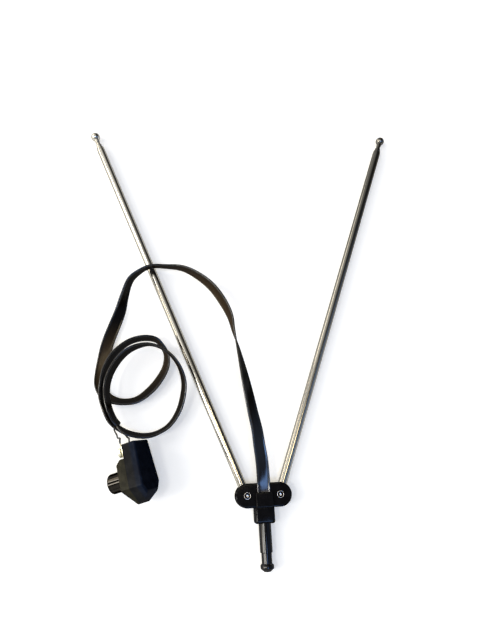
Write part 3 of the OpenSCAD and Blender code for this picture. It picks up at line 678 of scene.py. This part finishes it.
# Inside the barrel and the box. The insulator is an ivory moulding with a brass pin through it; a
# two-hole ferrite core with its winding of enamelled copper sits on the front shell's floor.
ivory = finish(
    "ivory_moulding", dark=(0.62, 0.57, 0.44), light=(0.78, 0.74, 0.62), gloss=(0.4, 0.55),
    grain=(0.0006, 0.0006, 0.0006),
)
yellow_brass = finish(
    "yellow_brass", dark=(0.52, 0.36, 0.12), light=(0.75, 0.58, 0.26), gloss=(0.18, 0.38),
    grain=(0.0005, 0.0005, 0.0005), relief=0.2, Metallic=1.0,
)
sintered_ferrite = finish(
    "sintered_ferrite", dark=(0.03, 0.03, 0.032), light=(0.07, 0.068, 0.068), gloss=(0.6, 0.8),
    grain=(0.0003, 0.0003, 0.0003), relief=0.6,
)
enamelled_copper = finish(
    "enamelled_copper", dark=(0.22, 0.07, 0.025), light=(0.4, 0.15, 0.06), gloss=(0.2, 0.35),
    grain=(0.0004, 0.01, 0.0004), place=box_place, relief=0.6, Metallic=0.6,
)


def coat(material, name):
    """Gives a CAD node that stays in view its finish."""
    node = frame["nodes"][name]
    node.data.materials.clear()
    node.data.materials.append(material)


coat(ivory, "barrel_insulator")
coat(yellow_brass, "centre_pin")
coat(sintered_ferrite, "ferrite_core")
coat(enamelled_copper, "core_winding")

# Terminals. Each leg is clamped between a stamped brass plate on the ledge and the head of a turned
# brass screw with a saw-cut slot, driven into the block of the front shell.
plate_thick = 0.0008
wire_room = 0.0014
screw_shank = 0.0017
screw_head = 0.0037
screw_height = 0.003
screw_length = 0.006
screw_point = 0.0004
head_break = 0.0002
head_round = 0.0007
slot_width = 0.0009
slot_depth = 0.0012
screw_under = wire_room + plate_thick
screw_top = screw_under + screw_height
pale_brass = finish(
    "pale_brass", dark=(0.82, 0.79, 0.58), light=(0.96, 0.94, 0.78), gloss=(0.28, 0.45),
    grain=(0.0005, 0.0005, 0.0005), relief=0.2, Metallic=1.0,
)
coat(pale_brass, "terminal_plates")
screw_profile = [
    (0, -screw_length), (screw_shank - screw_point, -screw_length),
    (screw_shank, screw_point - screw_length), (screw_shank, screw_under),
    (screw_head - head_break, screw_under), (screw_head, screw_under + head_break),
    *rounded((screw_head - head_round, screw_top - head_round), head_round, 0, 80),
    (0, screw_top),
]
for side in (-1, 1):
    screw = turn_profile("terminal_screw_" + ("lower" if side < 0 else "upper"), screw_profile)
    saw_cut = block(
        (-2 * screw_head, -slot_width / 2, screw_top - slot_depth),
        (2 * screw_head, slot_width / 2, screw_top + overcut),
    )
    combine(screw, "DIFFERENCE", saw_cut)
    screw.data.transform(
        box_place
        @ Matrix.Translation((part_x, terminal_y, side * terminal_step / 2))
        @ Matrix.Rotation(-math.pi / 2, 4, "Y")
        @ Matrix.Rotation(math.radians(90), 4, "Z")
    )
    dress(screw, pale_brass, "left_mast", "brass", "terminal_screws")

# Head, front and back mouldings. Two glossy black halves with round ends and flat sides, clamped by
# the rivets: they leave a slot round each end for the masts to swing in. The front one has the
# ribbon's hood.
joints = {joint["name"]: joint for joint in frame["joints"]}
left_pivot = Vector(joints["left_swing"]["pos_m"])
right_pivot = Vector(joints["right_swing"]["pos_m"])
middle_z = left_pivot.z
head_high = 2 * middle_z
head_radius = 0.00925
plate = 0.002
head_bevel = 0.0012
seam_bevel = 0.00012
swing_half = 0.0038
bridge_wall = 0.0036
pocket_radius = 0.005
tang_half = 0.0071
tang_low = 0.0075
stem_half = 0.0051
hood_half = 0.0068
hood_high = head_high + 0.003
hood_front = hood_mouth[1]
hood_round = 0.0009
hood_foot = head_high - plate / 2
pocket_half = 0.00555
pocket_back = 0.0024
pocket_high = 0.0019


def head_half(name, low, high, outer):
    """Half of the head: a round-ended slab, rounded at its outer level and broken at the seam."""
    begin(
        bpy.ops.mesh.primitive_circle_add, vertices=96, radius=head_radius, fill_type="NGON",
        location=(0, 0, low), rotation=(0, 0, math.pi / 96),
    )
    for side in (-1, 1):
        choose("VERT", lambda corners: corners[0].x * side > 0 and abs(corners[0].x) <= head_radius)
        bpy.ops.transform.translate(value=(side * right_pivot.x, 0, 0))
    bpy.ops.mesh.select_all(action="SELECT")
    bpy.ops.mesh.extrude_region_move(TRANSFORM_OT_translate={"value": (0, 0, high - low)})
    seam = low if outer == high else high
    round_edges(head_bevel, 5, lambda ends: all(abs(end.z - outer) < hair for end in ends))
    round_edges(seam_bevel, 1, lambda ends: all(abs(end.z - seam) < hair for end in ends))
    return close(name)


def swing_room(low, high):
    """Tools that open the masts' slots, the eyes' pockets and the stem's seat."""
    reach = 0.05
    rooms = [
        block((-reach, -swing_half, low), (left_pivot.x + swing_half, reach, high)),
        block((right_pivot.x - swing_half, -swing_half, low), (reach, reach, high)),
        block((left_pivot.x, -swing_half, low), (right_pivot.x, head_radius - bridge_wall, high)),
        block((-tang_half, -tang_low, low), (tang_half, 0, high)),
        block((-stem_half, -reach, low), (stem_half, 0, high)),
    ]
    for pivot in (left_pivot, right_pivot):
        begin(
            bpy.ops.mesh.primitive_cylinder_add, vertices=64, radius=pocket_radius,
            depth=high - low, location=(pivot.x, 0, (low + high) / 2),
        )
        rooms.append(close("pocket"))
    return rooms


jet = {
    "dark": (0.0016, 0.0016, 0.0022), "light": (0.004, 0.004, 0.005), "gloss": (0.05, 0.11),
    "grain": (0.0005, 0.0005, 0.0005), "Specular_IOR_Level": 0.0, "Coat_IOR": 3.0,
}
black_gloss = finish("black_gloss", **jet, relief=0.05, Coat_Weight=0.04, Coat_Roughness=0.06)
head_back = head_half("head_back_moulding", 0, middle_z, 0)
combine(head_back, "DIFFERENCE", *swing_room(plate, middle_z + overcut))
head_front = head_half("head_front_moulding", middle_z, head_high, head_high)
combine(head_front, "DIFFERENCE", *swing_room(middle_z - overcut, head_high - plate))
hood = block((-hood_half, -head_radius, hood_foot), (hood_half, hood_front, hood_high))
reopen(hood)
round_edges(hood_round, 4, lambda ends: max(end.z for end in ends) > hood_foot + hair)
hood = close("hood")
combine(head_front, "UNION", hood)
ribbon_room = block(
    (-pocket_half, -pocket_back, head_high),
    (pocket_half, hood_front + overcut, head_high + pocket_high),
)
combine(head_front, "DIFFERENCE", ribbon_room)
dress(head_back, black_gloss, "head", "black_gloss", "rear_shell")
dress(head_front, black_gloss, "head", "black_gloss", "front_shell")

# Mount stem. One glossy black moulding: a tang trapped between the head's halves, a collar with
# rounded corners below them, and a round shaft, neck and foot that plug into a set and are
# polished by it.
collar_width = 0.016
collar_top = 0.00935
collar_low = 0.02095
shaft_low = 0.04195
neck_low = 0.04935
foot_low = 0.05515
tang_fit = 0.0001
collar_thick = head_high - 2 * tang_fit
tang_thick = head_high - 2 * plate - 2 * tang_fit
shaft_radius = 0.0048
neck_radius = 0.004
foot_radius = 0.0052
foot_flare = 0.0012
foot_taper = 0.0024
collar_round = 0.0026
collar_foot_round = 0.0018
collar_break = 0.0003
tang_high = 0.0026
shaft_root = collar_low - 0.003
stem_profile = [
    (0, shaft_root), (shaft_radius, shaft_root), (shaft_radius, shaft_low - 0.0006),
    (shaft_radius - 0.0001, shaft_low - 0.0002), (shaft_radius - 0.0004, shaft_low),
    (neck_radius, shaft_low), (neck_radius, neck_low),
    (foot_radius - foot_flare, neck_low), (foot_radius - 0.0002, neck_low + foot_flare - 0.0002),
    (foot_radius, neck_low + foot_flare + 0.0003), (foot_radius, foot_low - foot_taper - 0.0003),
    (foot_radius - 0.0002, foot_low - foot_taper + 0.0003),
    (foot_radius - foot_taper, foot_low - 0.0002),
    (foot_radius - foot_taper - 0.0003, foot_low), (0, foot_low),
]
stem = block(
    (-collar_width / 2, -collar_low, middle_z - collar_thick / 2),
    (collar_width / 2, -collar_top, middle_z + collar_thick / 2),
)
reopen(stem)
round_edges(collar_round, 6, lambda ends: abs(ends[0].y - ends[1].y) > 0.005)
round_edges(collar_foot_round, 4, lambda ends: all(abs(end.y + collar_low) < hair for end in ends))
round_edges(collar_break, 2, lambda ends: all(abs(end.y + collar_top) < hair for end in ends))
stem = close("stem_moulding")
shaft = turn_profile("shaft", stem_profile, 72)
shaft.data.transform(
    Matrix.Translation((0, 0, middle_z)) @ Matrix.Rotation(math.pi / 2, 4, "X")
)
tang = block(
    (-tang_half + tang_fit, -tang_low + tang_fit, middle_z - tang_thick / 2),
    (tang_half - tang_fit, -tang_high, middle_z + tang_thick / 2),
)
bridge = block(
    (-stem_half + tang_fit, -collar_top - overcut, middle_z - tang_thick / 2),
    (stem_half - tang_fit, -tang_low + overcut, middle_z + tang_thick / 2),
)
combine(stem, "UNION", shaft, bridge, tang)
dress(stem, black_gloss, "head", "black_gloss", "mount_stem")
polished_black = finish("polished_black", **jet, relief=0.01, Coat_Weight=0.1, Coat_Roughness=0.04)
stem.data.materials.append(polished_black)
for face in stem.data.polygons:
    if face.center.y < -collar_low - hair:
        face.material_index = 1

# Pivot rivets. Semi-tubular nickel-plated rivets through both halves and a mast's eye: a flat head
# sunk in the back, and a hollow end rolled outwards over the front, with a bright rim round a
# groove. The groove is painted black, a painted shade.
rivet_shank = 0.0016
rivet_rim = 0.0027
rivet_bore = 0.0022
rivet_core = 0.001
rivet_foot = 0.0001
rivet_thick = 0.0009
rim_round = 0.00025
core_round = 0.0002
groove_deep = 0.0007
rivet_top = head_high + rivet_thick
rivet_profile = [
    (0, rivet_foot), (rivet_rim - 0.0003, rivet_foot), (rivet_rim, rivet_foot + 0.0003),
    (rivet_rim, rivet_foot + rivet_thick), (rivet_shank, rivet_foot + rivet_thick),
    (rivet_shank, head_high), (rivet_rim - 0.0001, head_high), (rivet_rim, head_high + 0.0001),
    *rounded((rivet_rim - rim_round, rivet_top - rim_round), rim_round, 0, 180, 8),
    (rivet_bore - 0.0001, rivet_top - groove_deep), (rivet_core + 0.0001, rivet_top - groove_deep),
    *rounded((rivet_core - core_round, rivet_top - 0.0004), core_round, 0, 90),
    (rivet_core / 2, rivet_top - 0.00025), (0, rivet_top - 0.00035),
]
bright_nickel = finish(
    "bright_nickel", dark=(0.42, 0.41, 0.39), light=(0.64, 0.63, 0.61), gloss=(0.15, 0.3),
    grain=(0.0004, 0.0004, 0.0004), relief=0.2, Metallic=1.0,
)
for side, pivot in (("left", left_pivot), ("right", right_pivot)):
    rivet = turn_profile(side + "_rivet", rivet_profile, 48)
    painted_groove_shade = [
        face.index for face in rivet.data.polygons
        if face.center.z > head_high + hair and rivet_core < face.center.xy.length < rivet_bore
    ]
    rivet.data.transform(Matrix.Translation((pivot.x, pivot.y, 0)))
    dress(rivet, bright_nickel, "head", "nickel", side + "_pivot_rivet")
    # The groove is painted in the head's black, a painted shade in the hollow
    rivet.data.materials.append(black_gloss)
    for face in painted_groove_shade:
        rivet.data.polygons[face].material_index = 1

# Pivot stack. On each rivet sit a pressed fibre washer, the mast's eye, a brass contact tab and a
# spring washer; the ribbon's bare conductors come down through the front half onto the tabs.
pressed_fibre = finish(
    "pressed_fibre", dark=(0.11, 0.045, 0.025), light=(0.24, 0.11, 0.06), gloss=(0.6, 0.8),
    grain=(0.0003, 0.0003, 0.0003), relief=0.5,
)
spring_steel = finish(
    "spring_steel", dark=(0.32, 0.32, 0.33), light=(0.5, 0.5, 0.5), gloss=(0.22, 0.4),
    grain=(0.002, 0.0002, 0.002), relief=0.2, Metallic=1.0,
)
for side in ("left", "right"):
    coat(pressed_fibre, side + "_fibre_washer")
    coat(spring_steel, side + "_spring_washer")
    coat(yellow_brass, side + "_contact_tab")
coat(tinned_copper, "lead_ends")

# Masts. Chrome-plated brass tubes that slide in one another, drawn in at the mouth so that none
# pulls out; a machined lug with an eye is pressed into the foot, brass bushes give the grip, and a
# ball caps the tip. The right mast's chrome is coloured darker towards its tip.
mast_width = 0.007
section_step = 0.0014
tube_wall = 0.00035
slide_gap = 0.00005
tube_foot = 0.0075
spigot_end = 0.0215
foot_gap = 0.0015
section_pitch = 0.003
mouth_length = 0.004
mouth_grip = 0.0013
neck_steps = 6
mast_length = 0.354
ball_radius = 0.004
cap_sink = 0.0005
cap_length = 0.003
collar_gap = 0.0003
cap_foot = mast_length - ball_radius + cap_sink - cap_length
first_end = cap_foot - collar_gap - 2 * section_pitch
chrome_grain = (0.0006, 0.0006, 0.05)
# Where the right mast's chrome starts and stops growing darker, and its tone at each end
darken_from = 0.02 / chrome_grain[2]
darken_to = 0.25 / chrome_grain[2]
root_tone, tip_tone = 0.9, 0.34


def tube_profile(k):
    """A tube with a softly drawn-in mouth, as radius and distance from the pivot."""
    outer = mast_width / 2 - k * section_step / 2
    mouth = outer - section_step / 2 + slide_gap
    foot = tube_foot if k == 0 else spigot_end + foot_gap + k * section_pitch
    end = first_end + k * section_pitch
    neck = []
    for step in range(1, neck_steps + 1):
        share = step / neck_steps
        drop = (1 - math.cos(math.pi * share)) / 2
        neck.append((outer - (outer - mouth - tube_wall) * drop, end - mouth_length * (1 - share)))
    bore = outer - tube_wall
    return [
        (bore, foot), (outer - 0.0001, foot), (outer, foot + 0.0001), (outer, end - mouth_length),
        *neck,
        (mouth, end), (mouth, end - mouth_grip), (bore, end - mouth_length), (bore, foot),
    ]


rod_radius = mast_width / 2 - 3 * section_step / 2
rod_foot = spigot_end + foot_gap + 3 * section_pitch
rod_profile = [
    (0, rod_foot), (rod_radius - 0.0002, rod_foot), (rod_radius, rod_foot + 0.0002),
    (rod_radius, mast_length), (0, mast_length),
]
cap_radius = mast_width / 2 - section_step
cap_angle = math.degrees(math.asin(cap_radius / ball_radius))
ball_profile = [
    (0, mast_length + 0.0001), (rod_radius, mast_length + 0.0001), (rod_radius, cap_foot),
    (cap_radius - 0.0002, cap_foot), (cap_radius, cap_foot + 0.0002),
    *rounded((0, mast_length), ball_radius, cap_angle - 90, 90, 20),
]
for side in ("left", "right"):
    pivot = Vector(joints[side + "_swing"]["pos_m"])
    upwards = Vector(joints[side + "_slide_2"]["axis"])
    mast_place = Matrix.Translation(pivot) @ upwards.to_track_quat("Z", "Y").to_matrix().to_4x4()
    chrome = finish(
        side + "_chrome", dark=(0.48, 0.46, 0.41), light=(0.64, 0.62, 0.56), gloss=(0.11, 0.19),
        grain=chrome_grain, place=mast_place, relief=0.015, Metallic=1.0,
        Specular_Tint=(0.02, 0.015, 0.01, 1),
    )
    # The right mast's chrome is coloured darker from near its foot towards its tip
    if side == "right":
        tree = chrome.node_tree
        _, _, height = parted(tree, tree.nodes["Mapping"].outputs["Vector"])
        tip_darkening = fade(tree, height, darken_from, darken_to, root_tone, tip_tone)
        darker = toned(tree, tree.nodes["Color Ramp"].outputs[0], tip_darkening)
        tree.links.new(darker, tree.nodes["Principled BSDF"].inputs["Base Color"])
    bodies = [side + "_mast", side + "_section_2", side + "_section_3"]
    for k, body in enumerate(bodies):
        tube = turn_profile(f"{side}_mast_tube_{k + 1}", tube_profile(k), 48)
        tube.data.transform(mast_place)
        dress(tube, chrome, body, "chrome", f"{side}_tube_{k + 1}")
    rod = turn_profile(side + "_mast_rod", rod_profile, 32)
    rod.data.transform(mast_place)
    dress(rod, chrome, side + "_tip", "chrome", side + "_tip_rod")
    ball = turn_profile(side + "_mast_ball", ball_profile, 48)
    ball.data.transform(mast_place)
    dress(ball, chrome, side + "_tip", "chrome", side + "_tip_ball")
    coat(bright_nickel, side + "_pivot_lug")
    for k in (2, 3, 4):
        coat(yellow_brass, f"{side}_bush_{k}")

# Table and light. A pale table under soft light from the left: a window, a low warm lamp and three
# panes, with a warm and a cool light overhead. The room is pale on the left and dim on the right,
# which draws the long bands in the chrome.
floor_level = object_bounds()[0].z
floor_size = 12
floor_gap = 0.0001
floor_lift = 0.4
room_stops = [
    (0.11, 0.15), (0.16, 0.85), (0.25, 0.85), (0.29, 0.52), (0.47, 0.44), (0.6, 0.15), (0.68, 0.05),
]
room_tint = (1, 0.98, 0.94)
blue_glow = (0.25, 0.33, 0.49, 1)
glow_direction = (0.78, -0.25, 0.57)
bpy.ops.object.select_all(action="DESELECT")
bpy.ops.mesh.primitive_plane_add(size=floor_size, location=(0, 0, floor_level - floor_gap))
floor = bpy.context.object
floor.name = "table"
paper = bpy.data.materials.new("white_table")
paper.use_nodes = True
tree = paper.node_tree
board = tree.nodes["Principled BSDF"]
board.inputs["Base Color"].default_value = (0.8, 0.8, 0.8, 1)
board.inputs["Roughness"].default_value = 0.9
board.inputs["Specular IOR Level"].default_value = 0.1
board.inputs["Emission Color"].default_value = (1, 0.97, 0.89, 1)
path = tree.nodes.new("ShaderNodeLightPath").outputs
seen = reckon(tree, "MAXIMUM", path["Is Camera Ray"], path["Is Glossy Ray"])
seen = reckon(tree, "MAXIMUM", seen, path["Is Transmission Ray"])
lift = reckon(tree, "MULTIPLY", seen, floor_lift)
tree.links.new(lift, board.inputs["Emission Strength"])
floor.data.materials.append(paper)


def soft_light(name, place, aim, width, height, power, colour):
    """A soft light that faces a point, its width level."""
    lamp = bpy.data.lights.new(name, "AREA")
    lamp.shape = "RECTANGLE"
    lamp.size = width
    lamp.size_y = height
    lamp.energy = power
    lamp.color = colour
    light = bpy.data.objects.new(name, lamp)
    bpy.context.scene.collection.objects.link(light)
    light.location = place
    light.rotation_euler = (Vector(aim) - Vector(place)).to_track_quat("-Z", "Y").to_euler()


soft_light("window_left", (-1.8, 1.05, 2.7), (0, 0.12, 0), 4.2, 1.35, 10.4, (1.0, 0.97, 0.92))
soft_light("warm_left", (-3.3, 1.2, 0.9), (0, 0.1, 0), 6.0, 0.9, 85.0, (1.0, 0.9, 0.74))
soft_light("near_pane", (-2.79, -0.54, 1.92), (-0.08, 0, 0), 0.48, 1.5, 33.0, (1.0, 0.97, 0.9))
soft_light("far_pane", (-2.79, 0.9, 1.86), (-0.08, 0.02, 0), 0.3, 1.5, 24.0, (1.0, 0.97, 0.9))
soft_light("warm_top", (0.25, 0.3, 3.0), (-0.12, 0.1, 0), 0.5, 0.5, 6.0, (1.0, 0.84, 0.56))
soft_light("cool_top", (0.36, -0.95, 3.0), (0, 0, 0), 0.75, 1.15, 22.0, (0.25, 0.48, 1.0))
soft_light("bright_pane", (-1.66, -0.41, 3.0), (0, -0.04, 0), 0.5, 0.3, 19.0, (1.0, 0.98, 0.92))
room = bpy.data.worlds.new("dim_room")
bpy.context.scene.world = room
room.use_nodes = True
tree = room.node_tree
direction = tree.nodes.new("ShaderNodeTexCoord").outputs["Generated"]
sideways, _, _ = parted(tree, direction)
bands = tones(tree, fade(tree, sideways, -1.0, 1.0), room_stops, room_tint)
towards = tree.nodes.new("ShaderNodeVectorMath")
towards.operation = "DOT_PRODUCT"
towards.inputs[1].default_value = glow_direction
tree.links.new(direction, towards.inputs[0])
glow = tree.nodes.new("ShaderNodeMix")
glow.data_type = "RGBA"
glow.inputs["B"].default_value = blue_glow
near_glow = fade(tree, towards.outputs["Value"], 0.8, 0.98, smooth=True)
tree.links.new(near_glow, glow.inputs["Factor"])
tree.links.new(bands, glow.inputs["A"])
tree.links.new(glow.outputs["Result"], tree.nodes["Background"].inputs["Color"])
